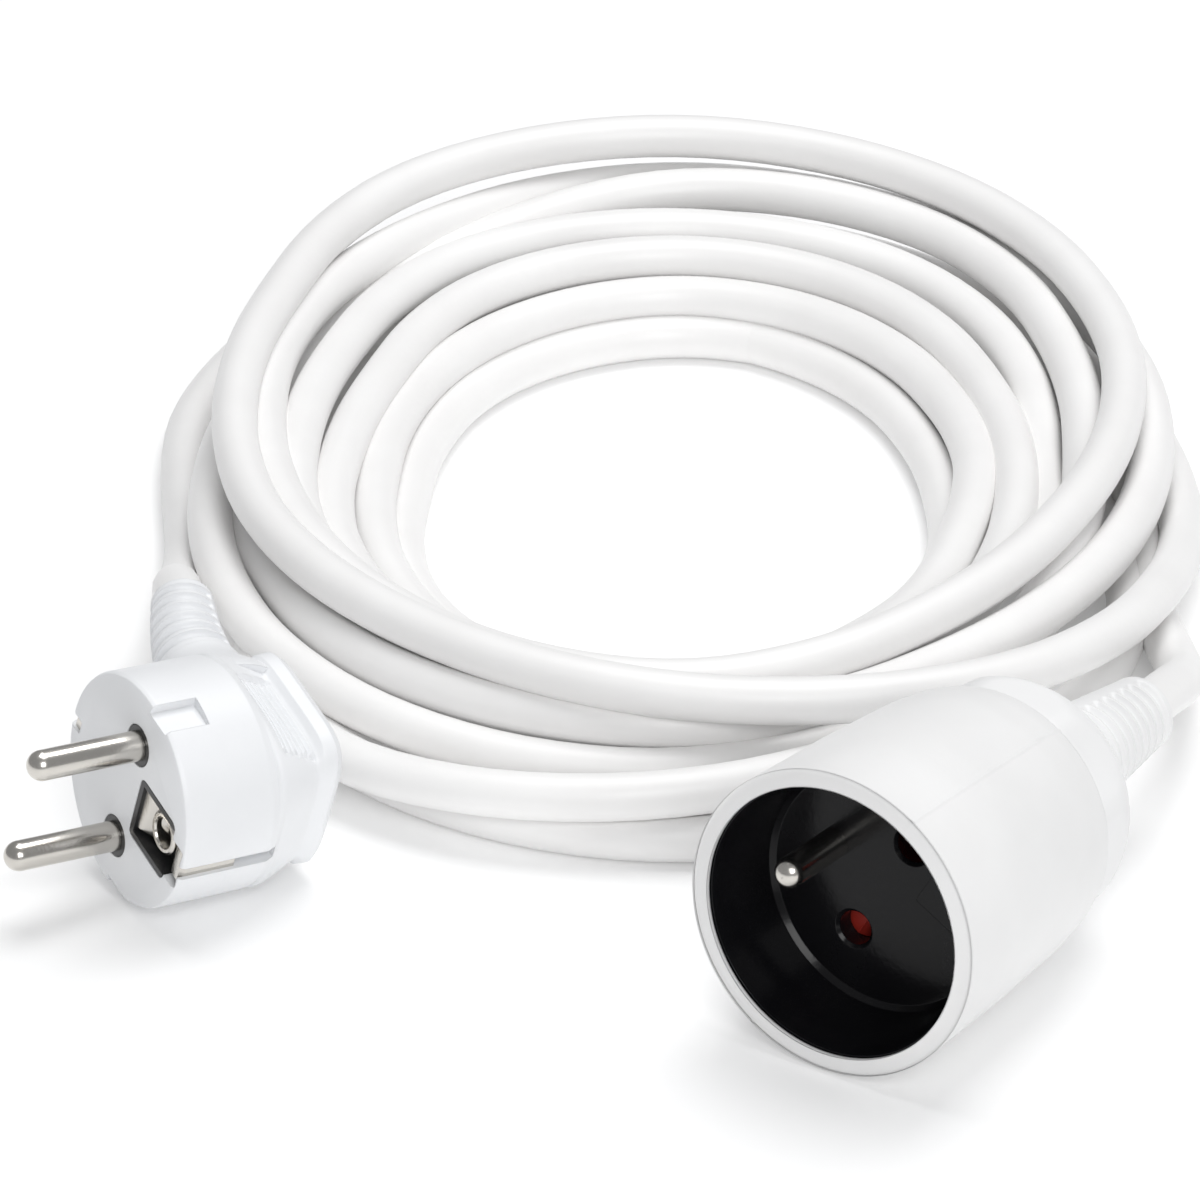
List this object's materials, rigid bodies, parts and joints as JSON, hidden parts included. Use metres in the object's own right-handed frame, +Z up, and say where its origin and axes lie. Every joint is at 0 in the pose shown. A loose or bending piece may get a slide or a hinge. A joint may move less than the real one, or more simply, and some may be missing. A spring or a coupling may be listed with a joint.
{
  "type": "extension cord",
  "caption": "Coiled round power cord with an angled moulded plug at one end and a round trailing socket with a rotating safety shutter at the other.",
  "frame": {"origin": "on the floor, below the middle of the trailing socket's box", "axes": "+Z up; the socket's mouth points to -X -Y and a little up, the coil lies behind it on the +Y side"},
  "size_m": [0.1929, 0.3036, 0.0491],
  "materials": {
    "white_shell": "satin white moulded plastic",
    "white_overmould": "soft satin white PVC moulding",
    "cord_sheath": "smooth warm white PVC cord sheath",
    "black_insert": "glossy black moulded plastic",
    "red_shutter": "red moulded plastic",
    "nickel": "nickel plated brass, polished",
    "brass": "plain brass strip",
    "spring_wire": "spring steel wire",
    "core_brown": "brown core insulation",
    "core_blue": "blue core insulation",
    "core_earth": "green and yellow core insulation"
  },
  "bodies": {
    "cord_set": {"socket_shell": "white_shell", "socket_insert": "black_insert", "socket_back_plate": "black_insert", "socket_contact_live": "brass", "socket_contact_neutral": "brass", "socket_earth_pin": "nickel", "shutter_spring": "spring_wire", "socket_overmould": "white_overmould", "socket_core_live": "core_brown", "socket_core_neutral": "core_blue", "socket_core_earth": "core_earth", "plug_pin_live": "nickel", "plug_pin_neutral": "nickel", "plug_earth_strip": "nickel", "plug_earth_tube": "nickel", "plug_bridge": "black_insert", "plug_core_live": "core_brown", "plug_core_neutral": "core_blue", "plug_core_earth": "core_earth", "plug_moulding": "white_overmould", "cord_socket_lead": "cord_sheath", "cord_plug_lead": "cord_sheath", "cord_coil": "cord_sheath"},
    "shutter": {"shutter": "red_shutter"}
  },
  "joints": [
    {"name": "shutter_turn", "type": "hinge", "parent": "cord_set", "child": "shutter", "pos_m": [-0.00659, -0.01568, 0.02356], "axis": [-0.5581, -0.8274, 0.0628], "range_deg": [0, 42], "stiffness_Nm_per_rad": 0.002, "springref_deg": -20.05}
  ]
}
